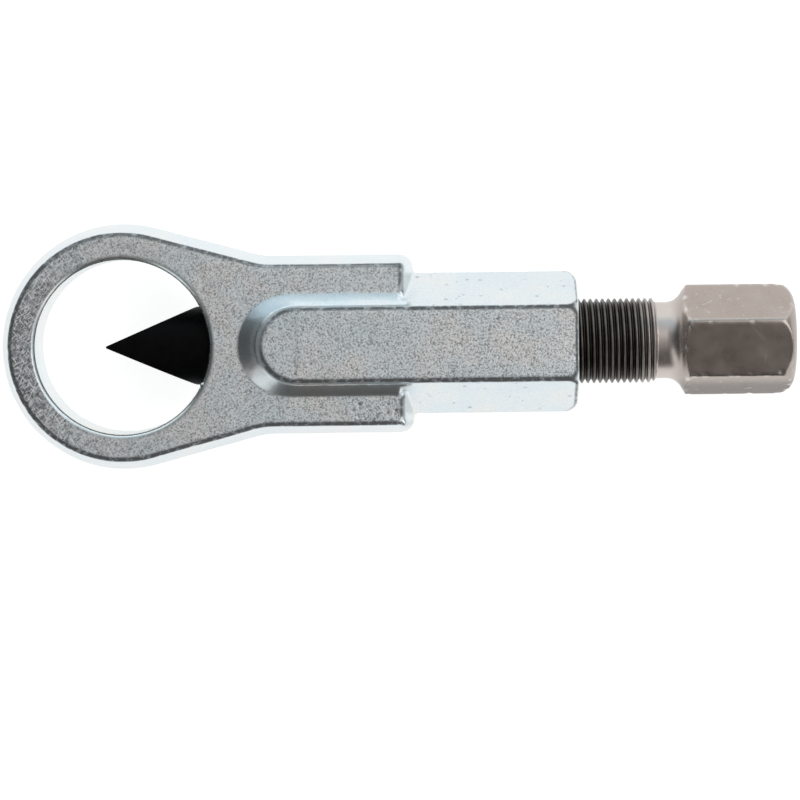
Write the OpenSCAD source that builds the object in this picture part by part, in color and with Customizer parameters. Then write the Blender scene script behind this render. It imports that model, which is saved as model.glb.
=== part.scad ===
// Nut splitter: a forged ring frame with a hexagon barrel, a pressure screw and a sliding chisel.
// Sizes are in millimetres. +X runs along the tool axis towards the screw head and +Z along the
// axis of the nut hole. The origin is under the middle of the bounding box, on the barrel's lower flat.
// Lengths along X are given from the centre of the nut hole.

/* [Ring] */
// Diameter of the hole that takes the nut
ring_hole_d = 28.5; // [27:0.5:31]
// Wall of the ring at the parting plane
ring_wall = 5.95; // [5.2:0.05:7]
// Bevel at both mouths of the nut hole
hole_bevel = 0.5; // [0.2:0.1:0.8]

/* [Forging] */
// Thickness of ring and neck, face to face
plate_t = 16; // [15.4:0.2:17]
// Draft of the forged walls, in degrees
draft = 12; // [8:1:14]
// Rounding of the forged edges
edge_r = 0.8; // [0.3:0.1:1]
// Half height of the trimmed land along the parting plane
land = 0.9; // [0.4:0.1:1.1]

/* [Neck and shoulders] */
// Slope of the sides of the neck, in degrees
neck_slope = 15; // [13:0.5:18]
// Width over the shoulders at the parting plane
shoulder_w = 29.4; // [28:0.2:31]
// Concave radius from neck to shoulder
shoulder_blend_r = 12; // [6:1:16]
// Ring centre to the end of the shoulders
shoulder_end = 47; // [45:0.5:50]
// Corner radius at the end of the shoulders
shoulder_corner_r = 2.2; // [1.6:0.1:3]

/* [Barrel] */
// Width across the flats of the barrel
barrel_af = 21; // [20:0.2:22]
// Ring centre to the end of the barrel
barrel_end = 74.6; // [73:0.1:78]
// Ring centre to the centre of the round nose on the barrel's flat
nose_centre = 28.6; // [27.5:0.1:30]
// How much further forward the foot of the nose is centred
nose_lean = 1.4; // [0.8:0.1:2]
// Fillet between barrel and plate
foot_r = 2.6; // [1.6:0.1:2.8]
// Radial depth of the turned bevel on the corners of the barrel's end
end_bevel = 0.7; // [0.4:0.05:1.4]
// Corner radius of the barrel's end, seen from above
end_corner_r = 2; // [1:0.1:3]

/* [Screw] */
// Thread diameter over the crests
thread_d = 14; // [13.5:0.1:14.5]
// Thread pitch
pitch = 1; // [0.75:0.25:1.25]
// Depth of the thread in the barrel
thread_depth = 41.6; // [41:0.1:42.5]
// Length of the thread on the spindle
thread_len = 43.4; // [42:0.1:46]
// Diameter of the relief neck
neck_d = 12.55; // [11.6:0.05:12.6]
// Length of the relief neck
neck_len = 1.65; // [1.3:0.05:4]
// Concave radius at the foot of the head
neck_fillet = 3; // [2.4:0.1:4.2]
// Width across the flats of the head
head_af = 16; // [15.6:0.1:17]
// Length of the head over its corners
head_len = 18.3; // [15:0.1:20]
// Rounding around the end of the head
head_round = 2.4; // [1.8:0.1:3.4]
// Turn of the head about the tool axis, in degrees
head_turn = 9.6; // [0:0.1:30]

/* [Chisel] */
// Angle between the two faces of the wedge
wedge_angle = 46.8; // [44:0.2:56]
// Width of the blunted cutting edge
edge_w = 0.3; // [0.1:0.1:0.5]
// How far the edge stands out of the wall of the nut hole
chisel_out = 16.95; // [6:0.05:26]
// Length of the chisel without its stem
chisel_len = 46.6; // [46.2:0.1:47.6]
// Diameter of the tail stem
stem_d = 6; // [5:0.1:6.4]
// Length of the tail stem
stem_len = 8; // [7:0.1:9]

/* [Chisel guide] */
// Diameter of the guide pin
pin_d = 3; // [2.4:0.1:3.2]
// Ring centre to the guide pin
pin_x = 31.2; // [30.9:0.1:31.4]
// Depth of the keyway in the chisel
key_depth = 1.7; // [1.2:0.1:2]

/* [Retention] */
// Wire diameter of the retaining ring
wire_d = 1; // [0.8:0.1:1.2]
// Opening of the retaining ring, in degrees
wire_gap = 40; // [20:5:60]

/* [Fits] */
// Radial clearance of the sliding and turning fits
run_fit = 0.05; // [0.02:0.01:0.08]
// Radial clearance around the guide pin in the barrel wall
press_fit = 0.01; // [0.005:0.005:0.02]

/* [Hidden] */
$fn = 96;

// frame
hole_r = ring_hole_d / 2;
ring_r = hole_r + ring_wall;
half_t = plate_t / 2;
half_w = shoulder_w / 2;
barrel_h = barrel_af / 2;
barrel_corner = barrel_h / cos(30);
flat_half = barrel_h * tan(30);
barrel_side = barrel_corner - land * tan(30);
bore_r = (thread_d - pitch) / 2;
thread_r = thread_d / 2;
thread_start = barrel_end - thread_depth;
arc_steps = 84;
blend_steps = 6;
corner_steps = 4;
edge_steps = 4;
nose_steps = 32;
foot_steps = 5;
// the nose stays this far inside the faces of the barrel, so that no two faces coincide
skin = 0.02;

// chisel, placed from its edge
chisel_r = bore_r - run_fit;
stem_r = stem_d / 2;
tip_x = hole_r - chisel_out;
tail_x = tip_x + chisel_len;
stem_x = tail_x + stem_len;
wedge_len = (chisel_r - edge_w / 2) / tan(wedge_angle / 2);
key_floor = chisel_r - key_depth;

// spindle, placed from the tail of the chisel
nose_gap = 0.3;
spindle_r = thread_r - run_fit;
neck_r = neck_d / 2;
hex_r = head_af / 2 / cos(30);
corner_over = 0.06;
head_r = hex_r + corner_over;
spindle_x = tail_x + nose_gap;
thread_end = spindle_x + thread_len;
flare_x = thread_end + neck_len;
flare_turn = 60;
flare_r = neck_r + neck_fillet * (1 - cos(flare_turn));
flare_len = neck_fillet * sin(flare_turn) + (head_r - flare_r) / tan(flare_turn);
head_end = flare_x + flare_len + head_len;
dome_turn = 3;
dome_rim = head_r - head_round * (1 - sin(dome_turn));
dome_r = dome_rim / sin(dome_turn);
dome_drop = dome_r * (1 - cos(dome_turn));
socket_r = stem_r + run_fit;
ball_r = stem_r;
ball_x = stem_x + ball_r + run_fit / 2;
drill_half = 59;
drill_tip = ball_x + ball_r / sin(drill_half) + run_fit;
drill_x = drill_tip - socket_r / tan(drill_half);
wire_r = wire_d / 2;
wire_x = tail_x + stem_len / 2;
groove_half = wire_r + run_fit;
groove_in = socket_r - wire_r - run_fit;
groove_out = socket_r + wire_r + run_fit;

// placing of the whole tool
ring_x = (ring_r - head_end) / 2;
axis_z = barrel_h;

// Outline of ring, neck and shoulders, moved outwards by o
function plate_outline(o) =
    let (r = ring_r + o)
    let (w = half_w + o)
    let (e = shoulder_end + o)
    let (n = 90 - neck_slope)
    let (b = shoulder_blend_r - o)
    let (c = max(shoulder_corner_r + o, 0.3))
    let (x = (r - w * sin(n)) / cos(n) + b * tan(neck_slope / 2))
    concat(
        [for (i = [0 : arc_steps]) let (a = n + (360 - 2 * n) * i / arc_steps) r * [cos(a), sin(a)]],
        [for (i = [0 : blend_steps]) let (a = 90 + neck_slope * (1 - i / blend_steps))
            [x + b * cos(a), -w - b + b * sin(a)]],
        [for (i = [0 : corner_steps]) let (a = 270 + 90 * i / corner_steps)
            [e - c + c * cos(a), c - w + c * sin(a)]],
        [for (i = [0 : corner_steps]) let (a = 90 * i / corner_steps)
            [e - c + c * cos(a), w - c + c * sin(a)]],
        [for (i = [0 : blend_steps]) let (a = -90 - neck_slope * i / blend_steps)
            [x + b * cos(a), w + b + b * sin(a)]]);

// Height and outward shift of the forged wall, from the parting plane up to the flat face
function wall_levels() =
    let (c = -(half_t - land) * tan(draft))
    let (f = c - edge_r * cos(draft) / (1 + sin(draft)))
    concat([[land, 0]],
        [for (i = [0 : edge_steps]) let (a = draft + (90 - draft) * i / edge_steps)
            [half_t - edge_r + edge_r * sin(a), f + edge_r * cos(a)]]);

// Height and half width of the barrel where it stands out of the plate, with fillet and rounded edge
function nose_levels() =
    let (s = flat_half + (barrel_h - half_t) * tan(30) + foot_r * tan(30) - skin)
    let (g = 60 / foot_steps)
    let (sink = 1)
    concat([[half_t - sink, s - foot_r * sin(g)]],
        [for (i = [1 : foot_steps]) [half_t + foot_r * (1 - cos(g * i)), s - foot_r * sin(g * i)]],
        [for (i = [0 : edge_steps]) let (a = 30 + 60 * i / edge_steps)
            [barrel_h - edge_r + edge_r * sin(a) - skin,
                flat_half - edge_r * tan(30) + edge_r * cos(a) - skin]]);

// Outline of the nose at a height, round at the front and cut square inside the shoulders
function nose_outline(z, w) =
    let (u = min(max((barrel_h - z) / (barrel_h - half_t), 0), 1))
    let (c = nose_centre - nose_lean * u)
    let (e = shoulder_end - (half_t - land) * tan(draft) - edge_r)
    concat([[e, w]],
        [for (i = [0 : nose_steps]) let (a = 90 + 180 * i / nose_steps) [c + w * cos(a), w * sin(a)]],
        [[e, -w]]);

// Points of one outline at a height
function at_height(pts, z) = [for (p = pts) [p[0], p[1], z]];

// Solid through a stack of outlines that have the same number of points. Each outline mirrors itself
// about the point with index tip, so both ends are closed by strips between mirrored points.
module loft(stack, tip) {
    n = len(stack[0]);
    m = len(stack);
    last = (m - 1) * n;
    points = [for (s = stack) each s];
    sides = [for (k = [0 : m - 2]) for (i = [0 : n - 1]) let (j = (i + 1) % n)
        each [[k * n + i, (k + 1) * n + i, (k + 1) * n + j], [k * n + i, (k + 1) * n + j, k * n + j]]];
    strips = [for (k = [0 : (n - 3) / 2])
        let (u = (tip - k + n) % n)
        let (v = (tip - k - 1 + n) % n)
        let (d = (tip + k) % n)
        let (e = (tip + k + 1) % n)
        each k == 0 ? [[u, v, e]] : [[u, v, e], [u, e, d]]];
    head = [for (t = strips) [for (i = t) last + i]];
    foot = [for (t = strips) [t[2], t[1], t[0]]];
    polyhedron(points, concat(sides, head, foot));
}

// Solid turned about the tool axis from a list of [x, radius]
module turned(profile) {
    rotate([0, 90, 0])
        rotate_extrude()
            polygon([for (p = profile) [p[1], p[0]]]);
}

// Everything is drawn from the ring centre and then moved to the frame of the part
module placed() {
    translate([ring_x, 0, axis_z])
        children();
}

// Ring, neck and shoulders with drafted walls
module plate() {
    up = wall_levels();
    n = len(up);
    loft([for (i = [0 : 2 * n - 1])
        let (l = i < n ? up[n - 1 - i] : up[i - n])
        at_height(plate_outline(l[1]), i < n ? -l[0] : l[0])], arc_steps / 2);
}

// Round nose of the barrel with its fillet on the upper face of the plate
module nose() {
    loft([for (l = nose_levels()) at_height(nose_outline(l[0], l[1]), l[0])], nose_steps / 2 + 1);
}

// Cross-section of the barrel with rounded edges on its flats and a trimmed land on its side corners
module barrel_section() {
    arc = [for (i = [0 : edge_steps]) let (a = 30 + 60 * i / edge_steps)
        [flat_half - edge_r * tan(30) + edge_r * cos(a), barrel_h - edge_r + edge_r * sin(a)]];
    back = [for (i = [edge_steps : -1 : 0]) arc[i]];
    polygon(concat(
        [[barrel_side, land]], arc, [for (p = back) [-p[0], p[1]]], [[-barrel_side, land]],
        [[-barrel_side, -land]], [for (p = arc) [-p[0], -p[1]]],
        [for (p = back) [p[0], -p[1]]], [[barrel_side, -land]]));
}

// Plan of the barrel with round corners at its end
module barrel_plan() {
    x = barrel_end - end_corner_r;
    y = barrel_side - end_corner_r;
    r = end_corner_r + skin;
    corner = [for (i = [0 : 2 * corner_steps]) let (a = 45 * i / corner_steps)
        [x + r * cos(a), y + r * sin(a)]];
    mirrored = [for (i = [2 * corner_steps : -1 : 0]) [corner[i][0], -corner[i][1]]];
    polygon(concat([[0, -barrel_side - skin]], mirrored, corner, [[0, barrel_side + skin]]));
}

// Hexagon barrel with the turned bevel and the round corners at its end
module barrel() {
    end_r = barrel_corner - end_bevel;
    over = barrel_corner + 0.5;
    intersection() {
        translate([nose_centre, 0, 0])
            rotate([90, 0, 90])
                linear_extrude(barrel_end - nose_centre)
                    barrel_section();
        turned([[0, 0], [0, over], [barrel_end - (over - end_r) / tan(30), over],
            [barrel_end, end_r], [barrel_end, 0]]);
        linear_extrude(barrel_af + 2, center = true)
            barrel_plan();
    }
}

// Hole for the nut with a bevel at both mouths
module nut_hole() {
    cylinder(r = hole_r, h = plate_t + 2, center = true);
    for (s = [0, 1])
        mirror([0, 0, s])
            translate([0, 0, half_t - hole_bevel])
                cylinder(r1 = hole_r, r2 = hole_r + hole_bevel + 0.5, h = hole_bevel + 0.5);
}

// Guide bore for the chisel and bore of the thread, with a lead-in at the mouth
module screw_bore() {
    step = thread_r - bore_r;
    lead = 0.8;
    turned([[0, 0], [0, bore_r], [thread_start, bore_r], [thread_start + step, thread_r],
        [barrel_end - lead, thread_r], [barrel_end + 0.5, thread_r + lead + 0.5], [barrel_end + 0.5, 0]]);
}

// Hole for the guide pin, from the lower flat of the barrel into the guide bore
module pin_hole() {
    translate([pin_x, 0, -barrel_h - 1])
        cylinder(r = pin_d / 2 + press_fit, h = barrel_h + 1 - bore_r / 2);
}

module frame() {
    color([0.66, 0.68, 0.70])
    placed()
    difference() {
        union() {
            plate();
            barrel();
            nose();
            mirror([0, 0, 1]) nose();
        }
        nut_hole();
        screw_bore();
        pin_hole();
    }
}

// Pressure screw: thread, relief neck and domed hexagon head, turned and then cut to the hexagon
module spindle() {
    flare = [for (i = [0 : 10]) let (a = flare_turn * i / 10)
        [flare_x + neck_fillet * sin(a), neck_r + neck_fillet * (1 - cos(a))]];
    rim = [for (i = [10 : -1 : 0]) let (a = dome_turn + (90 - dome_turn) * i / 10)
        [head_end - dome_drop - head_round * (cos(dome_turn) - cos(a)),
            head_r - head_round * (1 - sin(a))]];
    dome = [for (i = [3 : -1 : 0]) let (a = dome_turn * i / 4)
        [head_end - dome_r * (1 - cos(a)), dome_r * sin(a)]];
    runout = spindle_r - neck_r;
    lead = 1;
    color([0.38, 0.35, 0.32])
    placed()
    difference() {
        intersection() {
            turned(concat([[spindle_x, 0], [spindle_x, spindle_r - lead], [spindle_x + lead, spindle_r],
                [thread_end, spindle_r], [thread_end + runout, neck_r]],
                flare, [[flare_x + flare_len, head_r]], rim, dome));
            rotate([head_turn + 30, 0, 0])
                translate([spindle_x - 1, 0, 0])
                    rotate([0, 90, 0])
                        cylinder(r = hex_r, h = head_end - spindle_x + 2, $fn = 6);
        }
        turned([[spindle_x - 1, 0], [spindle_x - 1, socket_r], [wire_x - groove_half, socket_r],
            [wire_x - groove_half, groove_out], [wire_x + groove_half, groove_out],
            [wire_x + groove_half, socket_r], [drill_x, socket_r], [drill_tip, 0]]);
    }
}

// Chisel: round shank cut to a wedge, with a keyway underneath and a grooved stem at its tail
module chisel() {
    reach = chisel_r + 1;
    wide_x = tip_x + (reach - edge_w / 2) / tan(wedge_angle / 2);
    key_x = tip_x + wedge_len + 1;
    tail_bevel = 0.5;
    stem_bevel = 0.6;
    color([0.06, 0.06, 0.065])
    placed()
    difference() {
        intersection() {
            turned([[tip_x, 0], [tip_x, chisel_r], [tail_x - tail_bevel, chisel_r],
                [tail_x, chisel_r - tail_bevel], [tail_x, stem_r],
                [wire_x - groove_half, stem_r], [wire_x - groove_half, groove_in],
                [wire_x + groove_half, groove_in], [wire_x + groove_half, stem_r],
                [stem_x - stem_bevel, stem_r], [stem_x, stem_r - stem_bevel], [stem_x, 0]]);
            translate([0, 0, -reach])
                linear_extrude(2 * reach)
                    polygon([[tip_x, -edge_w / 2], [wide_x, -reach], [stem_x + 1, -reach],
                        [stem_x + 1, reach], [wide_x, reach], [tip_x, edge_w / 2]]);
        }
        translate([key_x, -pin_d / 2 - run_fit, -chisel_r - 1])
            cube([tail_x - key_x + 0.01, pin_d + 2 * run_fit, key_depth + 1]);
    }
}

// Ball between the end of the chisel's stem and the drilled end of the spindle's socket
module thrust_ball() {
    color([0.75, 0.76, 0.78])
    placed()
    translate([ball_x, 0, 0])
        sphere(r = ball_r);
}

// Open wire ring, half in the groove of the spindle's socket and half in the groove of the stem
module retaining_ring() {
    color([0.30, 0.30, 0.32])
    placed()
    translate([wire_x, 0, 0])
        rotate([0, 90, 0])
            rotate_extrude(angle = 360 - wire_gap)
                translate([socket_r, 0])
                    circle(r = wire_r);
}

// Dowel in the lower wall of the barrel that runs in the chisel's keyway
module guide_pin() {
    sunk = 0.3;
    bevel = 0.3;
    tip_gap = 0.2;
    tip = key_floor + tip_gap;
    foot = barrel_h - sunk;
    color([0.55, 0.56, 0.58])
    placed()
    translate([pin_x, 0, 0])
        rotate_extrude()
            polygon([[0, -foot], [pin_d / 2 - bevel, -foot], [pin_d / 2, bevel - foot],
                [pin_d / 2, -tip - bevel], [pin_d / 2 - bevel, -tip], [0, -tip]]);
}

frame();
spindle();
chisel();
thrust_ball();
retaining_ring();
guide_pin();
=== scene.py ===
"""Looks of the nut splitter: zinc-plated forging, threaded spindle with hexagon head, black chisel."""

import math

import bmesh
import bpy
import numpy as np
from mathutils import Matrix, Vector, noise


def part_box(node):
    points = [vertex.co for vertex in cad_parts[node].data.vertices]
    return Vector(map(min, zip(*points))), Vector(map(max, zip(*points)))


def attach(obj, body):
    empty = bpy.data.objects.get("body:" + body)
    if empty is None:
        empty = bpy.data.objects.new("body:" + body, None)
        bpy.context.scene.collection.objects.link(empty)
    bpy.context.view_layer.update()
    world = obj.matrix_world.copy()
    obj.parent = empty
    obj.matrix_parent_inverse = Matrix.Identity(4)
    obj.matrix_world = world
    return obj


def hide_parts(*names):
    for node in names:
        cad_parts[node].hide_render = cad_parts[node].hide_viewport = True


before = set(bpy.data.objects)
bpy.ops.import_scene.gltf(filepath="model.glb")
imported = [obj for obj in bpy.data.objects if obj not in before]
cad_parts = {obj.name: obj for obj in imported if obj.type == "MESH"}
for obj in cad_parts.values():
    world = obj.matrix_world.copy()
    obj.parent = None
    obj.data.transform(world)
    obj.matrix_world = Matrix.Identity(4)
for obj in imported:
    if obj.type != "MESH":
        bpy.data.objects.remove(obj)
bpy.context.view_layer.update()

MM = 0.001

# Sizes of the frame in millimetres
RING_R = 20.2
HOLE_R = 14.25
PLATE_HALF = 8.0
SHOULDER_END = 47.0
BARREL_HALF = 10.5
FOOT_R = 2.6
SIDE_TURN = math.radians(60)
BORE_R = 7.0

# Sizes of the spindle in millimetres
NOSE_RINGS = (0.4, 3.05, 4.5, 5.6)
THREAD_LEN = 43.4
THREAD_R = 6.98
THREAD_PITCH = 1.0
THREAD_DEPTH = 0.6
NECK_R = 6.275
NECK_LEN = 1.65
FLARE_R = 3.0
FLARE_TURN = math.radians(60)
HEAD_AF = 16.0
HEAD_ROUND = 3.3
HEAD_SHORT = 0.4
HEAD_TURN = math.radians(9.6)
DOME_TURN = math.radians(3)

# Places from the frame: the centre of the nut hole, and distances along the axis from it
frame_low, frame_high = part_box("frame")
spindle_low, spindle_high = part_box("spindle")
CENTRE = np.array([frame_low.x + RING_R * MM, 0.0, (frame_low.z + frame_high.z) / 2])
BARREL_END = (frame_high.x - CENTRE[0]) / MM
SPINDLE_X = (spindle_low.x - CENTRE[0]) / MM
HEAD_END = (spindle_high.x - CENTRE[0]) / MM - HEAD_SHORT
THREAD_END = SPINDLE_X + THREAD_LEN
FLARE_X = THREAD_END + NECK_LEN


# Helpers for meshes
def in_frame(points):
    """Points in millimetres from the centre of the nut hole, as metres in the frame of the part."""
    return np.asarray(points, float) * MM + CENTRE


def in_part(co):
    """Points in metres in the frame of the part, as millimetres from the centre of the nut hole."""
    return (co - CENTRE) / MM


def new_object(name, data):
    ob = bpy.data.objects.new(name, data)
    bpy.context.scene.collection.objects.link(ob)
    return ob


def vertex_values(mesh, name):
    values = np.zeros(len(mesh.vertices) * 3)
    mesh.vertices.foreach_get(name, values)
    return values.reshape(-1, 3)


def set_coordinates(mesh, co):
    mesh.vertices.foreach_set("co", np.ascontiguousarray(co, dtype=np.float32).ravel())
    mesh.update()


def store(mesh, name, values):
    """Keeps one number per vertex on the mesh, for its material."""
    layer = mesh.attributes.new(name, "FLOAT", "POINT")
    layer.data.foreach_set("value", np.ascontiguousarray(values, dtype=np.float32))


def shade_smooth(mesh):
    mesh.polygons.foreach_set("use_smooth", [True] * len(mesh.polygons))


def weld(mesh, distance, outward=False):
    """Joins points closer than the distance in metres, and turns all faces outwards if asked to."""
    bm = bmesh.new()
    bm.from_mesh(mesh)
    bmesh.ops.remove_doubles(bm, verts=bm.verts, dist=distance)
    if outward:
        bmesh.ops.recalc_face_normals(bm, faces=bm.faces)
    bm.to_mesh(mesh)
    bm.free()


def baked(ob):
    """Applies the modifiers of an object."""
    bpy.context.view_layer.update()
    deps = bpy.context.evaluated_depsgraph_get()
    mesh = bpy.data.meshes.new_from_object(ob.evaluated_get(deps))
    old = ob.data
    ob.modifiers.clear()
    ob.data = mesh
    bpy.data.meshes.remove(old)


def smoothstep(a, b, x):
    t = np.clip((x - a) / (b - a), 0.0, 1.0)
    return t * t * (3 - 2 * t)


def between(values, limits):
    return (values > limits[0]) & (values < limits[1])


def field(co, scale, seed):
    """Smooth noise from -1 to 1 at the given points; scale is the size of its features."""
    shift = Vector((seed * 7.31, seed * 3.17, seed * 5.77))
    return np.array([noise.noise(Vector(c) / scale + shift) for c in co])


def relaxed(mesh, co, rounds):
    """The points after some rounds of moving each to the middle between itself and its neighbours."""
    pairs = np.zeros(len(mesh.edges) * 2, dtype=np.int64)
    mesh.edges.foreach_get("vertices", pairs)
    a, b = pairs.reshape(-1, 2).T
    count = np.maximum(np.bincount(pairs, minlength=len(co)), 1)
    for _ in range(rounds):
        near = [np.bincount(a, co[b, k], len(co)) + np.bincount(b, co[a, k], len(co)) for k in range(3)]
        co = (co + np.stack(near, 1) / count[:, None]) / 2
    return co


def convexity(mesh, co, rounds):
    """How far relaxing draws each point inwards: above zero on outer edges, below zero in fillets."""
    return np.einsum("ij,ij->i", co - relaxed(mesh, co, rounds), vertex_values(mesh, "normal"))


def lumps(co, places):
    """Sum of round bumps; each place is (point, radius, height)."""
    total = np.zeros(len(co))
    for point, radius, height in places:
        near = np.clip(1 - ((co - point) ** 2).sum(1) / radius ** 2, 0, None)
        total += height * near ** 2
    return total


def nicks(co, candidates, count, seed, radius, depth):
    """Small dents at points drawn from the candidates."""
    draw = np.random.RandomState(seed)
    chosen = draw.choice(np.flatnonzero(candidates), count)
    return lumps(co, [(co[i], draw.uniform(*radius), -draw.uniform(*depth)) for i in chosen])


# Frame: the forged solid, remeshed evenly so that its edges are soft and its faces can wander
VOXEL = 0.24
SOFT_ROUNDS = 6
BEND_ROUNDS = 12
FORGING_TRIANGLES = 196000
BORE_SKIN = 0.6
BARREL_STEP = 1.5

# Foot of the barrel: its width, the lip at its upper end, the slopes of its arc, and where it fades out
FLAT_SLACK = 0.006
FOOT_WIDE = 2.35
FOOT_LIP = 0.35
FOOT_TURNS = (math.radians(28), math.radians(40.5))
FOOT_FADE = (46.9, 45.4)

# Ends of the shoulders: where the end face starts, its draft, how far it moves out, and what moves with it
SHOULDER_TOP = 45.5
SHOULDER_DRAFT = math.atan(1.5 / 8.0)
SHOULDER_SHIFT = 0.7
SHIFT_START = (36.0, 44.0)
SHIFT_STOP = (52.0, 48.0)
SHIFT_SIDE = (3.0, 5.0)

# Rounding of these ends: its radius, where it begins beside the barrel, and how far and deep it reaches
SHOULDER_ROUND = 1.3
SHOULDER_INNER = (8.4, 9.2)
ROUND_REACH = 2.5
ROUND_SKIN = (0.6, 0.9)

# Turns round that edge between which its painted shade line comes and goes
SHADE_LINE_START = (math.radians(30), math.radians(74))
SHADE_LINE_STOP = (math.radians(88), math.radians(80))

# Waves of the forged skin: height, size and seed
WAVES = ((0.035, 7.0, 1), (0.022, 2.6, 2), (0.012, 1.1, 3))

# Dents: how many, seed, range of radius and range of depth
EDGE_NICKS = (110, 11, (0.35, 0.9), (0.03, 0.13))
FACE_NICKS = (130, 21, (0.26, 0.45), (0.03, 0.08))
WORN_NICKS = (26, 22, (0.24, 0.42), (0.06, 0.13))
SLOPE_NICKS = (90, 23, (0.25, 0.5), (0.02, 0.07))
WORN_X = (37.5, 46.5)
WORN_Y = (-12.7, -9.6)
SLOPE_UPRIGHT = (0.3, 0.6)
PIT_DEPTH = 0.08

# Burrs and the bare torn corner of one shoulder: point, radius and height or strength
BURRS = (
    ((46.0, -13.1, 7.5), 0.7, 0.40),
    ((46.6, -13.5, 6.0), 0.9, 0.70),
    ((47.0, -13.6, 4.5), 0.9, 0.75),
    ((47.5, -13.3, 3.0), 0.9, 0.60),
    ((12.75, -6.2, 7.7), 0.60, 0.40),
)
TORN_CORNER = (((45.9, -12.9, 7.7), 1.4, 2.5), ((46.3, -13.2, 6.8), 1.4, 2.5))


def even_forging():
    """The solid of the frame as an even mesh with soft edges."""
    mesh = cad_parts["frame"].data.copy()
    mesh.materials.clear()
    weld(mesh, 1e-6)
    ob = new_object("forged_frame", mesh)
    even = ob.modifiers.new("even", "REMESH")
    even.mode = "VOXEL"
    even.voxel_size = VOXEL * MM
    soft = ob.modifiers.new("soft", "SMOOTH")
    soft.factor = 0.5
    soft.iterations = SOFT_ROUNDS
    baked(ob)
    return ob


def foot_height(height):
    """New heights above the plate for the foot of the barrel.

    The solid has a fillet and above it a stretch of the barrel's slanting side. Here a wide arc leaves
    the plate at an angle, closer to the barrel, and ends below a steep lip at the barrel's upper edge.
    """
    rise = BARREL_HALF - PLATE_HALF
    bow = FOOT_R * (1 - math.cos(SIDE_TURN))
    wide = FOOT_R * math.sin(SIDE_TURN) + (rise - bow) / math.tan(SIDE_TURN)
    h = np.clip(height, 0.0, rise)
    low = wide - np.sqrt(np.maximum(FOOT_R ** 2 - (FOOT_R - h) ** 2, 0.0))
    out = np.where(h < bow, low, (rise - h) / math.tan(SIDE_TURN))
    start, end = FOOT_TURNS
    arc = (FOOT_WIDE - FOOT_LIP) / (math.sin(end) - math.sin(start))
    reach = np.clip(FOOT_WIDE - out, 0.0, FOOT_WIDE - FOOT_LIP) + arc * math.sin(start)
    bowl = arc * math.cos(start) - np.sqrt(arc ** 2 - reach ** 2)
    step = rise - arc * (math.cos(start) - math.cos(end))
    return bowl + step * np.clip(1 - out / FOOT_LIP, 0.0, 1.0)


def lower_foot(co):
    """Brings the foot of the barrel to its new heights, as far as the ends of the shoulders."""
    height = np.abs(co[:, 2]) - PLATE_HALF
    change = (foot_height(height - FLAT_SLACK) - height) * smoothstep(*FOOT_FADE, co[:, 0])
    foot = (height > FLAT_SLACK) & (height < BARREL_HALF - PLATE_HALF - FLAT_SLACK)
    co[:, 2] += np.where(foot, np.sign(co[:, 2]) * change, 0.0)


def rounded_shoulders(co):
    """Moves the ends of the shoulders out and rounds them.

    Gives the moved points, how much each belongs to a rounded end, and the painted shade line along that
    end.
    """
    x, y, z = co.T
    outside = smoothstep(*SHIFT_SIDE, np.abs(y)) * (np.hypot(y, z) > BORE_R + BORE_SKIN)
    x = x + SHOULDER_SHIFT * smoothstep(*SHIFT_START, x) * smoothstep(*SHIFT_STOP, x) * outside
    inset = (1 - math.sin(SHOULDER_DRAFT)) / math.cos(SHOULDER_DRAFT)
    middle = SHOULDER_TOP + SHOULDER_SHIFT - SHOULDER_ROUND * inset
    level = PLATE_HALF - SHOULDER_ROUND
    along = x - middle
    up = np.abs(z) - level
    turn = np.arctan2(up, along)
    beside = smoothstep(*SHOULDER_INNER, np.abs(y))
    beside *= (turn > SHOULDER_DRAFT) & (turn < math.pi / 2) & (along < ROUND_REACH)
    reach = np.maximum(np.hypot(along, up), 1e-6)
    draw = 1 + (np.minimum(SHOULDER_ROUND / reach, 1.0) - 1) * beside
    moved = np.stack([middle + along * draw, y, np.sign(z) * (level + up * draw)], 1)
    corner = beside * smoothstep(*ROUND_SKIN, reach / SHOULDER_ROUND)
    line = smoothstep(*SHADE_LINE_START, turn) * smoothstep(*SHADE_LINE_STOP, turn)
    return moved, corner, line


def forged_share(co, normal):
    """1 on forged skin, 0 on cut metal: the nut hole, the bore and the turned end of the barrel."""
    x, y, z = co.T
    in_bore = (np.hypot(y, z) < BORE_R + BORE_SKIN) & (x > 0)
    forged = smoothstep(HOLE_R + 0.3, HOLE_R + 1.2, np.hypot(x, y))
    turned = smoothstep(0.30, 0.65, normal[:, 0]) * (x > BARREL_END - 3)
    return np.where(in_bore, 0.0, forged) * (1 - turned)


def wander(co, normal, edge, forged):
    """Heights of the waves and edge nicks of the forged skin; under the tool they only go inwards."""
    wave = sum(height * field(co, size, seed) for height, size, seed in WAVES)
    wave *= 1 + edge
    wave += nicks(co, (edge > 0.5) & (forged > 0.5), *EDGE_NICKS)
    under = (normal[:, 2] < -0.97) & (co[:, 2] < -PLATE_HALF - BARREL_STEP)
    return np.where(under, -np.abs(wave) * 0.5, wave)


def face_dents(co, upright, forged, edge, face):
    """Heights of the dents on the flat faces, more of them on one shoulder, and on the barrel's slopes."""
    x, y, z = co.T
    flat = (face > 0.9) & (forged > 0.9) & (edge < 0.1)
    worn = flat & between(x, WORN_X) & between(y, WORN_Y) & (z > 0)
    slope = between(upright, SLOPE_UPRIGHT) & (forged > 0.9) & (x > SHOULDER_END)
    dents = nicks(co, flat, *FACE_NICKS)
    dents += nicks(co, worn, *WORN_NICKS)
    dents += nicks(co, slope, *SLOPE_NICKS)
    return dents


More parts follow.
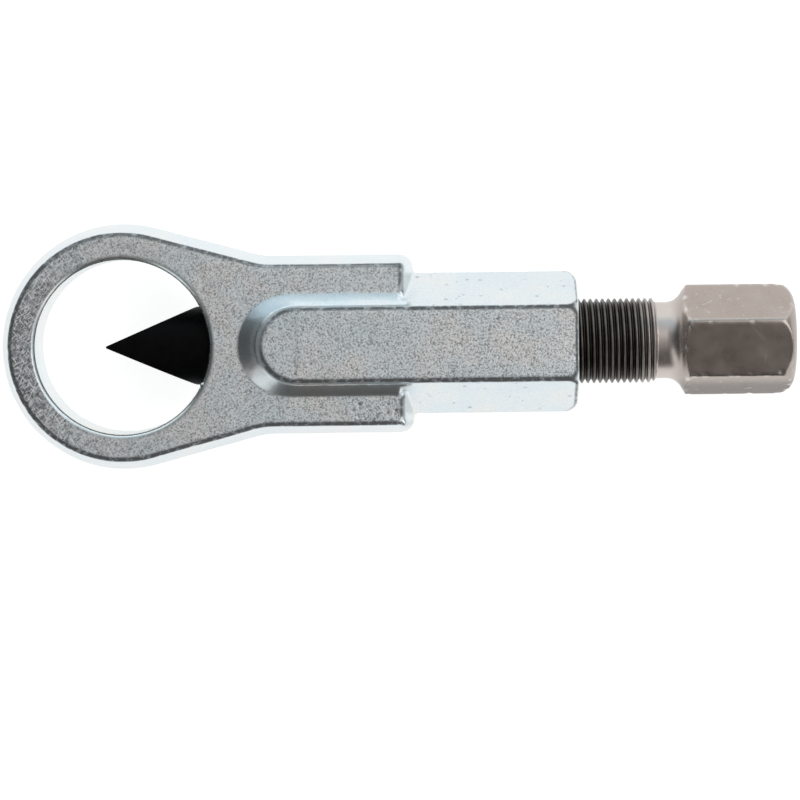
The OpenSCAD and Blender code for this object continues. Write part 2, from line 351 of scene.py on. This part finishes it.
def painted_edge_lines(co, normal, bend):
    """Painted shade: dark lines along the outer edges of the faces, thinner towards +Y and -X."""
    thin = smoothstep(-0.2, 0.5, normal[:, 1] - 0.5 * normal[:, 0])
    on_barrel = np.abs(co[:, 2]) > PLATE_HALF + BARREL_STEP
    bend = bend * np.where(on_barrel, 1.13 + 0.12 * thin, 1.0)
    line = smoothstep(0.015 + 0.022 * thin, 0.041 + 0.017 * thin, bend)
    return line * smoothstep(0.40, 0.55, np.abs(normal[:, 2]))


def make_forging():
    ob = even_forging()
    mesh = ob.data
    co = in_part(vertex_values(mesh, "co"))
    bend = convexity(mesh, co, BEND_ROUNDS)
    lower_foot(co)
    co, corner, end_shade_line = rounded_shoulders(co)
    set_coordinates(mesh, in_frame(co))

    normal = vertex_values(mesh, "normal")
    upright = np.abs(normal[:, 2])
    edge = smoothstep(0.02, 0.09, bend)
    face = smoothstep(0.90, 0.985, upright)
    forged = forged_share(co, normal)
    dents = face_dents(co, upright, forged, edge, face)
    push = wander(co, normal, edge, forged) * forged + dents + lumps(co, BURRS)
    set_coordinates(mesh, in_frame(co + normal * push[:, None]))

    # painted shade: dark lines along the outer edges and round the shoulder ends, left off the torn corner
    rim = painted_edge_lines(co, normal, bend)
    rim += (end_shade_line - rim) * corner
    whole = np.clip(1 - lumps(co, TORN_CORNER), 0, 1)
    store(mesh, "forged", forged)
    store(mesh, "edge", edge * forged)
    store(mesh, "rim", rim * forged * whole)
    store(mesh, "face", face * whole)
    store(mesh, "pit", np.clip(-dents / PIT_DEPTH, 0, 1))
    fewer = ob.modifiers.new("fewer", "DECIMATE")
    fewer.ratio = min(1.0, FORGING_TRIANGLES / (2 * len(mesh.polygons)))
    baked(ob)
    shade_smooth(ob.data)
    return ob


# Spindle: helical thread, relief neck and hexagon head with domed end as one closed skin
AROUND = 192
THREAD_STEPS = (0.0, 0.10, 0.26, 0.43, 0.50, 0.57, 0.74, 0.90)
THREAD_FLANK = (0.14, 0.80)
THREAD_LEAD = 1.0
THREAD_RUNOUT = 0.45
NECK_GAP = 0.05
NECK_STEPS = 12
FLARE_STEPS = 16
CONE_STEPS = 8
SIDE_STEPS = 40
RIM_STEPS = 30
DOME_STEPS = 16

# Rounding of the hexagon: sharpness of its corners, what makes up for it, and the blend with the round blank
HEX_SHARPNESS = 60.0
HEX_SWELL = 0.0115
BLANK_SPARE = 0.06
BLANK_BLEND = 0.12

# Dents of the head's edges: how many, seed, range of radius and range of depth
HEAD_NICKS = (60, 5, (0.35, 0.9), (0.02, 0.10))
HEAD_CHIPS = (16, 8, (0.5, 1.1), (0.06, 0.16))
CHIP_DEPTH = 0.09


def hexagon(theta, half):
    """Radius of a hexagon with slightly rounded corners in the directions theta."""
    a = np.stack([np.cos(theta - HEAD_TURN - k * math.pi / 3) for k in range(6)])
    r = np.where(a > 1e-3, half / np.maximum(a, 1e-3), 1e3)
    return np.sum(r ** -HEX_SHARPNESS, axis=0) ** (-1 / HEX_SHARPNESS) * (1 + HEX_SWELL)


def thread_radius(phase):
    """Radius over one pitch of the thread: flat crest, straight flanks, narrow root."""
    start, end = THREAD_FLANK
    t = np.abs((phase % 1.0) - 0.5) * 2
    return THREAD_R - THREAD_DEPTH * (1 - np.clip((t - start) / (end - start), 0, 1))


def head_profile():
    """Half-section of the head before its flats are cut: flare, cone, cylinder, round rim and dome."""
    head_r = HEAD_AF / 2 / math.cos(math.pi / 6) + BLANK_SPARE
    points = []
    for i in range(1, FLARE_STEPS + 1):
        a = FLARE_TURN * i / FLARE_STEPS
        points.append((FLARE_X + FLARE_R * math.sin(a), NECK_R + FLARE_R * (1 - math.cos(a))))
    x0, r0 = points[-1]
    cone = (head_r - r0) / math.tan(FLARE_TURN)
    for i in range(1, CONE_STEPS + 1):
        points.append((x0 + cone * i / CONE_STEPS, r0 + (head_r - r0) * i / CONE_STEPS))
    rim = head_r - HEAD_ROUND * (1 - math.sin(DOME_TURN))
    dome = rim / math.sin(DOME_TURN)
    start = HEAD_END - dome * (1 - math.cos(DOME_TURN)) - HEAD_ROUND * math.cos(DOME_TURN)
    x1 = x0 + cone
    for i in range(1, SIDE_STEPS + 1):
        points.append((x1 + (start - x1) * i / SIDE_STEPS, head_r))
    for i in range(1, RIM_STEPS + 1):
        a = math.pi / 2 - (math.pi / 2 - DOME_TURN) * i / RIM_STEPS
        points.append((start + HEAD_ROUND * math.cos(a), head_r - HEAD_ROUND * (1 - math.sin(a))))
    for i in range(1, DOME_STEPS):
        a = DOME_TURN * (1 - i / DOME_STEPS)
        points.append((HEAD_END - dome * (1 - math.cos(a)), dome * math.sin(a)))
    return points


def spindle_rings(theta):
    """Rings from nose to dome, each with a place along the axis and a radius in every direction.

    Also gives the number of the first ring of the thread and of the first one after it.
    """
    rings = []

    def ring(x, r):
        rings.append(np.stack([np.broadcast_to(x, theta.shape), np.broadcast_to(r, theta.shape)], 1))

    for r in NOSE_RINGS:
        ring(SPINDLE_X, r)
    first = len(rings)
    per = len(THREAD_STEPS)
    root = THREAD_R - THREAD_DEPTH
    for m in range(per * (int(THREAD_LEN / THREAD_PITCH) + 3)):
        phase = m // per + THREAD_STEPS[m % per]
        x = SPINDLE_X + THREAD_PITCH * (phase - 1 + theta / (2 * math.pi))
        x = np.clip(x, SPINDLE_X, THREAD_END)
        r = np.minimum(thread_radius(phase), THREAD_R - THREAD_LEAD + (x - SPINDLE_X))
        shallow = root + (r - root) * smoothstep(0, THREAD_RUNOUT, THREAD_END - x)
        ring(x, np.where(x > THREAD_END - THREAD_RUNOUT, shallow, r))
    last = len(rings)
    for i in range(NECK_STEPS + 1):
        ring(THREAD_END + NECK_GAP + (NECK_LEN - NECK_GAP) * i / NECK_STEPS, NECK_R)
    hexa = hexagon(theta, HEAD_AF / 2)
    for x, r in head_profile():
        h = np.clip(0.5 + 0.5 * (hexa - r) / BLANK_BLEND, 0, 1)
        ring(x, hexa * (1 - h) + r * h - BLANK_BLEND * h * (1 - h))
    return rings, first, last


def spindle_faces(count, first, last):
    """Faces between the rings, and a cap on both ends; a ring of the thread goes on one pitch later."""
    per = len(THREAD_STEPS)
    faces = []
    for k in range(count - 1):
        spiral = first <= k < last - 1
        a = k * AROUND
        b = a + AROUND
        faces += [(a + j, a + j + 1, b + j + 1, b + j) for j in range(AROUND - 1)]
        j = AROUND - 1
        turn = per * AROUND if spiral else 0
        if not spiral or k + 1 + per < last:
            faces.append((a + j, a + turn, b + turn, b + j))
    faces.append(tuple(range(AROUND - 1, -1, -1)))
    top = (count - 1) * AROUND
    faces.append(tuple(top + j for j in range(AROUND)))
    return faces


def make_spindle():
    theta = np.arange(AROUND) / AROUND * 2 * math.pi
    rings, first, last = spindle_rings(theta)
    # the angle runs from +Z towards -Y, as seen along +X
    around = np.stack([-np.sin(theta), np.cos(theta)], 1)
    points = np.concatenate([np.concatenate([s[:, :1], s[:, 1:] * around], 1) for s in rings])
    mesh = bpy.data.meshes.new("spindle_screw")
    mesh.from_pydata(in_frame(points).tolist(), [], spindle_faces(len(rings), first, last))
    weld(mesh, 2e-7, outward=True)

    co = in_part(vertex_values(mesh, "co"))
    head = smoothstep(FLARE_X + 2.0, FLARE_X + 3.0, co[:, 0])
    edge = smoothstep(0.012, 0.05, convexity(mesh, co, 6)) * head
    push = nicks(co, edge > 0.4, *HEAD_NICKS)
    push += nicks(co, edge > 0.6, *HEAD_CHIPS)
    set_coordinates(mesh, in_frame(co + vertex_values(mesh, "normal") * push[:, None]))
    store(mesh, "edge", edge)
    store(mesh, "chip", np.clip(-push / CHIP_DEPTH, 0, 1))
    shade_smooth(mesh)
    return new_object("spindle_screw", mesh)


# Helpers for materials
def shader(name):
    mat = bpy.data.materials.new(name)
    mat.use_nodes = True
    tree = mat.node_tree
    return mat, tree, tree.nodes["Principled BSDF"]


def node(tree, kind, **values):
    n = tree.nodes.new(kind)
    for key, value in values.items():
        if key in n.inputs:
            n.inputs[key].default_value = value
        else:
            setattr(n, key, value)
    return n


def grey(level):
    return (level, level, level)


def object_place(tree):
    return tree.nodes.new("ShaderNodeTexCoord").outputs["Object"]


def axes(tree, where):
    """The X, Y and Z of a place."""
    n = tree.nodes.new("ShaderNodeSeparateXYZ")
    tree.links.new(where, n.inputs["Vector"])
    return n.outputs["X"], n.outputs["Y"], n.outputs["Z"]


def x_place(mm):
    return CENTRE[0] + mm * MM


def stretched(tree, where, lengths, turn=(0, 0, 0)):
    """Coordinates turned and stretched, so that a noise read there draws out into streaks."""
    n = node(tree, "ShaderNodeMapping", vector_type="TEXTURE", Rotation=turn, Scale=lengths)
    tree.links.new(where, n.inputs["Vector"])
    return n.outputs["Vector"]


def noise_at(tree, where, scale, detail, rough):
    n = node(tree, "ShaderNodeTexNoise", Scale=scale, Detail=detail, Roughness=rough)
    tree.links.new(where, n.inputs["Vector"])
    return n.outputs["Fac"]


def ramp(tree, fac, *stops):
    n = tree.nodes.new("ShaderNodeValToRGB")
    e = n.color_ramp.elements
    while len(e) < len(stops):
        e.new(0.5)
    for el, (pos, col) in zip(e, stops):
        el.position = pos
        el.color = (*col, 1.0) if isinstance(col, tuple) else (*grey(col), 1.0)
    tree.links.new(fac, n.inputs["Fac"])
    return n.outputs["Color"]


def span(tree, value, low, high, to_low=0.0, to_high=1.0):
    n = node(tree, "ShaderNodeMapRange", interpolation_type="SMOOTHSTEP")
    for name, number in zip(("From Min", "From Max", "To Min", "To Max"), (low, high, to_low, to_high)):
        n.inputs[name].default_value = number
    tree.links.new(value, n.inputs["Value"])
    return n.outputs["Result"]


def attribute(tree, name):
    return node(tree, "ShaderNodeAttribute", attribute_name=name).outputs["Fac"]


def link_or_set(tree, socket, value):
    if isinstance(value, bpy.types.NodeSocket):
        tree.links.new(value, socket)
    elif isinstance(value, tuple):
        socket.default_value = (*value, 1.0)
    else:
        socket.default_value = value


def mix(tree, fac, a, b, kind="MIX"):
    n = node(tree, "ShaderNodeMix", data_type="RGBA", blend_type=kind)
    for socket, value in ((n.inputs["Factor"], fac), (n.inputs[6], a), (n.inputs[7], b)):
        link_or_set(tree, socket, value)
    return n.outputs[2]


def times(tree, a, b):
    n = node(tree, "ShaderNodeMath", operation="MULTIPLY")
    link_or_set(tree, n.inputs[0], a)
    link_or_set(tree, n.inputs[1], b)
    return n.outputs[0]


def bump(tree, height, depth, strength, under=None):
    """Bump of the given depth in millimetres, on top of another one."""
    n = node(tree, "ShaderNodeBump", Distance=depth * MM)
    tree.links.new(height, n.inputs["Height"])
    link_or_set(tree, n.inputs["Strength"], strength)
    if under:
        tree.links.new(under, n.inputs["Normal"])
    return n.outputs["Normal"]


def streaks(tree, where, turns, length, scale, rough, low, high):
    """Scattered straight marks: noises drawn out along several directions and added up."""
    total = None
    for turn in turns:
        place = stretched(tree, where, (length, 1.0, 1.0), (0, 0, turn))
        lines = span(tree, noise_at(tree, place, scale, 1.0, rough), low, high)
        total = lines if total is None else mix(tree, 1.0, total, lines, "ADD")
    return total


# Materials
STROKE_TURNS = (1.1, 0.5, -0.9)
SCRATCH_TURNS = (0.45, -0.9, 1.5)
# Painted shade on the head: its brown darkens towards -Y between these sideways places, in millimetres
HEAD_SHADE_Y = (-7.8, -5.8)
CREST_BAND = 0.28


def worn_shaded_ring(tree, where, along, face, tone):
    """The tone with the coarser and scratched skin of the ring, fading towards the barrel, with painted
    shade that darkens its faces towards -X.
    """
    ringside = span(tree, along, x_place(-RING_R), x_place(HOLE_R + 8), 1.0, 0.0)
    ringside = times(tree, ringside, face)
    coarse = ramp(tree, noise_at(tree, where, 1700.0, 3.0, 0.65), (0.36, 0.34), (0.54, 1.0))
    tone = mix(tree, ringside, tone, coarse, "MULTIPLY")
    # painted shade: the ring's faces darker towards -X
    left_shade = span(tree, along, x_place(-RING_R - 2), x_place(-3), 0.85, 0.0)
    tone = mix(tree, times(tree, left_shade, face), tone, grey(0.35), "MULTIPLY")
    strokes = streaks(tree, where, STROKE_TURNS, 5.0, 3800.0, 0.5, 0.56, 0.66)
    strokes = times(tree, ringside, strokes)
    return mix(tree, times(tree, strokes, 0.8), tone, (0.95, 0.96, 0.97))


def zinc():
    """Bright zinc on a shot-blasted forging: fine grain, scattered pits, faint clouds, edges a little
    darker, and painted shade as dark, rougher lines along the outer edges.
    """
    mat, tree, bsdf = shader("zinc_forging")
    where = object_place(tree)
    along, _, _ = axes(tree, where)
    forged = attribute(tree, "forged")
    face = attribute(tree, "face")
    grain = noise_at(tree, where, 3600.0, 2.0, 0.6)
    fine = noise_at(tree, where, 6200.0, 1.0, 0.5)
    patch = noise_at(tree, where, 130.0, 3.0, 0.55)
    blasted = ramp(tree, grain, (0.31, 0.30), (0.44, 0.70), (0.56, 0.94), (0.68, 1.0))
    smooth = ramp(tree, grain, (0.34, (0.71, 0.738, 0.748)), (0.66, (0.81, 0.833, 0.838)))
    tone = mix(tree, face, smooth, blasted)
    tone = mix(tree, forged, (0.77, 0.80, 0.795), tone)
    blue = (0.36, (0.91, 0.97, 1.0))
    pale = (0.50, (0.95, 0.985, 1.0))
    warm = (0.64, (0.99, 0.985, 0.97))
    tone = mix(tree, 1.0, tone, ramp(tree, patch, blue, pale, warm), "MULTIPLY")
    tone = worn_shaded_ring(tree, where, along, face, tone)
    tone = mix(tree, times(tree, attribute(tree, "pit"), 0.85), tone, (0.16, 0.155, 0.15))
    tone = mix(tree, times(tree, attribute(tree, "edge"), 0.2), tone, (0.35, 0.35, 0.36))
    # painted shade: dark lines along the outer edges, broken up by noise
    ragged = span(tree, noise_at(tree, where, 1100.0, 3.0, 0.65), 0.30, 0.52, 0.5, 1.0)
    rim = times(tree, attribute(tree, "rim"), ragged)
    tone = mix(tree, times(tree, rim, 0.9), tone, (0.14, 0.145, 0.15))
    tree.links.new(tone, bsdf.inputs["Base Color"])
    rough = mix(tree, face, grey(0.28), ramp(tree, grain, (0.34, 0.58), (0.66, 0.50)))
    rough = mix(tree, forged, grey(0.26), rough)
    rough = mix(tree, rim, rough, grey(0.75))
    tree.links.new(rough, bsdf.inputs["Roughness"])
    relief = times(tree, forged, span(tree, face, 0.0, 1.0, 0.2, 0.6))
    level = bump(tree, grain, 0.07, relief)
    level = bump(tree, fine, 0.025, times(tree, forged, 0.35), level)
    tree.links.new(level, bsdf.inputs["Normal"])
    bsdf.inputs["Metallic"].default_value = 1.0
    return mat


def radius_from_axis(tree, where):
    across = node(tree, "ShaderNodeVectorMath", operation="MULTIPLY_ADD")
    across.inputs[1].default_value = (0.0, 1.0, 1.0)
    across.inputs[2].default_value = (0.0, 0.0, -CENTRE[2])
    tree.links.new(where, across.inputs[0])
    length = node(tree, "ShaderNodeVectorMath", operation="LENGTH")
    tree.links.new(across.outputs[0], length.inputs[0])
    return length.outputs["Value"]


def thread_tone(tree, where, along, smear, neck):
    """Dark oil in the roots and rubbed crests, both lighter towards the neck."""
    bare = span(tree, along, x_place(THREAD_END - 4.5), x_place(THREAD_END))
    crest = span(tree, radius_from_axis(tree, where), (THREAD_R - CREST_BAND) * MM, THREAD_R * MM)
    oil = ramp(tree, smear, (0.35, (0.030, 0.027, 0.023)), (0.70, (0.070, 0.061, 0.053)))
    rubbed = ramp(tree, smear, (0.35, (0.105, 0.096, 0.089)), (0.70, (0.21, 0.195, 0.182)))
    crests = mix(tree, times(tree, bare, 0.8), rubbed, neck)
    roots = mix(tree, times(tree, bare, 0.35), oil, neck)
    return mix(tree, times(tree, crest, 0.85), roots, crests)


def spindle_steel():
    """Browned steel: dark oily thread with rubbed crests, light turned neck, brown head with scratches, and
    painted shade on the head's -Y side.
    """
    mat, tree, bsdf = shader("spindle_steel")
    where = object_place(tree)
    along, side, _ = axes(tree, where)
    clean = span(tree, along, x_place(THREAD_END - 0.5), x_place(THREAD_END + 0.2))
    head = span(tree, along, x_place(FLARE_X + 0.3), x_place(FLARE_X + 3.0))
    smear = noise_at(tree, where, 240.0, 4.0, 0.6)
    neck = ramp(tree, smear, (0.30, (0.58, 0.520, 0.485)), (0.70, (0.64, 0.580, 0.545)))
    brown = ramp(tree, smear, (0.30, (0.39, 0.335, 0.302)), (0.70, (0.44, 0.382, 0.350)))
    # painted shade: the head's brown darker on its -Y side
    shaded = span(tree, side, HEAD_SHADE_Y[0] * MM, HEAD_SHADE_Y[1] * MM, 0.55, 0.0)
    brown = mix(tree, shaded, brown, grey(0.0))
    tone = mix(tree, clean, thread_tone(tree, where, along, smear, neck), neck)
    tone = mix(tree, head, tone, brown)
    scratch = streaks(tree, where, SCRATCH_TURNS, 16.0, 1500.0, 0.4, 0.70, 0.76)
    scratch = mix(tree, head, grey(0.0), scratch)
    tone = mix(tree, times(tree, scratch, 0.35), tone, (0.62, 0.58, 0.55))
    tone = mix(tree, times(tree, attribute(tree, "edge"), 0.22), tone, (0.60, 0.56, 0.53))
    tone = mix(tree, times(tree, attribute(tree, "chip"), 0.7), tone, (0.74, 0.71, 0.69))
    tree.links.new(tone, bsdf.inputs["Base Color"])
    thread_rough = ramp(tree, smear, (0.3, 0.30), (0.7, 0.42))
    neck_rough = ramp(tree, smear, (0.3, 0.32), (0.7, 0.40))
    head_rough = ramp(tree, smear, (0.3, 0.25), (0.7, 0.36))
    rough = mix(tree, head, mix(tree, clean, thread_rough, neck_rough), head_rough)
    tree.links.new(rough, bsdf.inputs["Roughness"])
    turned = noise_at(tree, stretched(tree, where, (1.0, 50.0, 50.0)), 5000.0, 2.0, 0.5)
    drawn = noise_at(tree, stretched(tree, where, (50.0, 1.0, 1.0)), 4000.0, 2.0, 0.5)
    level = bump(tree, mix(tree, head, turned, drawn), 0.01, 0.25)
    level = bump(tree, scratch, 0.02, -0.4, level)
    tree.links.new(level, bsdf.inputs["Normal"])
    bsdf.inputs["Metallic"].default_value = 1.0
    return mat


def plain_steel(name, low, high, rough_low, rough_high, metallic, specular):
    """Steel with faint clouds in its tone and gloss."""
    mat, tree, bsdf = shader(name)
    cloud = noise_at(tree, object_place(tree), 700.0, 4.0, 0.6)
    tree.links.new(ramp(tree, cloud, (0.3, low), (0.7, high)), bsdf.inputs["Base Color"])
    tree.links.new(ramp(tree, cloud, (0.3, rough_low), (0.7, rough_high)), bsdf.inputs["Roughness"])
    tree.links.new(bump(tree, cloud, 0.03, 0.2), bsdf.inputs["Normal"])
    bsdf.inputs["Metallic"].default_value = metallic
    bsdf.inputs["Specular IOR Level"].default_value = specular
    return mat


def put(ob, mat):
    ob.data.materials.clear()
    ob.data.materials.append(mat)


def put_cad(name, mat):
    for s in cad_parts[name].material_slots:
        s.material = mat


# Pieces that are new meshes
forging = make_forging()
put(forging, zinc())
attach(forging, "frame")
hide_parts("frame")

screw = make_spindle()
put(screw, spindle_steel())
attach(screw, "spindle")
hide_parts("spindle")

# Pieces that stay as solids: material, darkest and lightest tone, roughness there, metallic and specular
PLAIN_PIECES = {
    "chisel": ("black_oxide", (0.0015, 0.0015, 0.0016), (0.0030, 0.0030, 0.0032), 0.35, 0.5, 0.0, 0.06),
    "thrust_ball": ("bearing_steel", (0.62, 0.63, 0.65), (0.70, 0.71, 0.73), 0.10, 0.16, 1.0, 0.5),
    "retaining_ring": ("spring_steel", (0.22, 0.22, 0.24), (0.30, 0.30, 0.32), 0.25, 0.35, 1.0, 0.5),
    "guide_pin": ("pin_steel", (0.48, 0.49, 0.51), (0.58, 0.59, 0.61), 0.22, 0.34, 1.0, 0.5),
}
for piece, look in PLAIN_PIECES.items():
    put_cad(piece, plain_steel(*look))

# Walls of the studio: azimuth of the middle, half width and soft rim in degrees from +X,
# then the sine of the height where each wall starts to fade out, and its colour
WALLS = (
    (90, 48, 14, 0.68, (0.60, 0.75, 0.84)),
    (90, 44, 14, 0.32, (1.20, 1.25, 1.27)),
    (0, 28, 12, 0.84, (0.42, 0.42, 0.42)),
    (180, 34, 8, 0.88, (0.064, 0.069, 0.073)),
    (270, 34, 10, 0.90, (0.085, 0.081, 0.077)),
    (230, 10, 5, 0.80, (1.05, 1.05, 1.05)),
    (318, 12, 6, 0.80, (1.0, 1.0, 1.0)),
)
WALL_FADE = 0.08

# Sky behind the walls: sine of the height and colour
SKY = ((0.0, 0.95), (0.34, 0.95), (0.66, 0.80), (0.86, 0.38), (1.0, (0.205, 0.189, 0.181)))

# Floor, softbox and camera in metres and watts; the heights of the camera's points are above the tool axis
FLOOR_HALF = 3.0
FLOOR_GAP = 0.00005
FLOOR_GLOW = 0.90
FLOOR_ALBEDO = 0.35
SOFTBOX_PLACE = (0.75, 0.30, 1.07)
SOFTBOX_SIZE = 1.1
SOFTBOX_POWER = 5.2
CAMERA_PLACE = (-0.0001, 0.0113, 0.608)
CAMERA_AIM = (-0.0001, -0.0094, 0.0)
CAMERA_ROLL = math.radians(0.69)
VIEW_WIDTH = 0.1324
SENSOR = 36.0


def seen_directly(tree):
    """1 for rays from the camera and for mirrored or refracted ones, 0 for scattered light."""
    path = tree.nodes.new("ShaderNodeLightPath")
    total = path.outputs["Is Camera Ray"]
    for name in ("Is Glossy Ray", "Is Transmission Ray"):
        add = node(tree, "ShaderNodeMath", operation="ADD", use_clamp=True)
        tree.links.new(total, add.inputs[0])
        tree.links.new(path.outputs[name], add.inputs[1])
        total = add.outputs[0]
    return total


def make_floor():
    mesh = bpy.data.meshes.new("floor")
    s = FLOOR_HALF
    mesh.from_pydata([(-s, -s, 0), (s, -s, 0), (s, s, 0), (-s, s, 0)], [], [(0, 1, 2, 3)])
    ob = new_object("floor", mesh)
    ob.location.z = -FLOOR_GAP
    mat, tree, bsdf = shader("floor_white")
    link = tree.links.new
    bsdf.inputs["Base Color"].default_value = (*grey(FLOOR_ALBEDO), 1.0)
    bsdf.inputs["Roughness"].default_value = 0.9
    bsdf.inputs["Specular IOR Level"].default_value = 0.0
    glow = node(tree, "ShaderNodeEmission", Color=(1, 1, 1, 1))
    link(times(tree, seen_directly(tree), FLOOR_GLOW), glow.inputs["Strength"])
    both = tree.nodes.new("ShaderNodeAddShader")
    link(bsdf.outputs[0], both.inputs[0])
    link(glow.outputs[0], both.inputs[1])
    link(both.outputs[0], tree.nodes["Material Output"].inputs["Surface"])
    put(ob, mat)


def studio_light(tree):
    """The sky with the walls in front of it, as a colour for every direction."""
    where = tree.nodes.new("ShaderNodeTexCoord").outputs["Generated"]
    _, _, height = axes(tree, where)
    light = ramp(tree, height, *SKY)
    level = node(tree, "ShaderNodeVectorMath", operation="MULTIPLY")
    level.inputs[1].default_value = (1.0, 1.0, 0.0)
    tree.links.new(where, level.inputs[0])
    compass = node(tree, "ShaderNodeVectorMath", operation="NORMALIZE")
    tree.links.new(level.outputs[0], compass.inputs[0])
    for azimuth, half, rim, top, colour in WALLS:
        a = math.radians(azimuth)
        dot = node(tree, "ShaderNodeVectorMath", operation="DOT_PRODUCT")
        dot.inputs[1].default_value = (math.cos(a), math.sin(a), 0.0)
        tree.links.new(compass.outputs[0], dot.inputs[0])
        low = math.cos(math.radians(half + rim))
        high = math.cos(math.radians(half))
        across = span(tree, dot.outputs["Value"], low, high)
        below = span(tree, height, top, top + WALL_FADE, 1.0, 0.0)
        light = mix(tree, times(tree, across, below), light, colour)
    return light


def make_world():
    """The studio for everything but the camera, which sees plain white."""
    world = bpy.data.worlds.new("studio")
    bpy.context.scene.world = world
    world.use_nodes = True
    tree = world.node_tree
    link = tree.links.new
    back = tree.nodes["Background"]
    link(studio_light(tree), back.inputs["Color"])
    back.inputs["Strength"].default_value = 1.0
    white = node(tree, "ShaderNodeBackground", Color=(1, 1, 1, 1), Strength=1.0)
    path = tree.nodes.new("ShaderNodeLightPath")
    choose = tree.nodes.new("ShaderNodeMixShader")
    link(path.outputs["Is Camera Ray"], choose.inputs["Fac"])
    link(back.outputs[0], choose.inputs[1])
    link(white.outputs[0], choose.inputs[2])
    link(choose.outputs[0], tree.nodes["World Output"].inputs["Surface"])


def make_softbox():
    """A square lamp that faces the origin."""
    data = bpy.data.lights.new("softbox", "AREA")
    data.shape = "RECTANGLE"
    data.size = SOFTBOX_SIZE
    data.size_y = SOFTBOX_SIZE
    data.energy = SOFTBOX_POWER
    ob = new_object("softbox", data)
    ob.location = SOFTBOX_PLACE
    ob.rotation_euler = (-Vector(SOFTBOX_PLACE)).to_track_quat("-Z", "Y").to_euler()


def above_axis(place):
    x, y, height = place
    return Vector((x, y, CENTRE[2] + height))


def make_camera():
    place = above_axis(CAMERA_PLACE)
    aim = above_axis(CAMERA_AIM)
    ahead = (aim - place).normalized()
    right = ahead.cross(Vector((math.sin(CAMERA_ROLL), math.cos(CAMERA_ROLL), 0))).normalized()
    up = right.cross(ahead)
    cam = bpy.data.cameras.new("camera")
    cam.sensor_width = SENSOR
    cam.lens = SENSOR * (aim - place).length / VIEW_WIDTH
    cam.clip_start = 0.01
    ob = new_object("camera", cam)
    ob.matrix_world = Matrix.Translation(place) @ Matrix((right, up, -ahead)).transposed().to_4x4()
    bpy.context.scene.camera = ob


make_floor()
make_world()
make_softbox()
make_camera()
bpy.context.scene.view_settings.view_transform = "Standard"
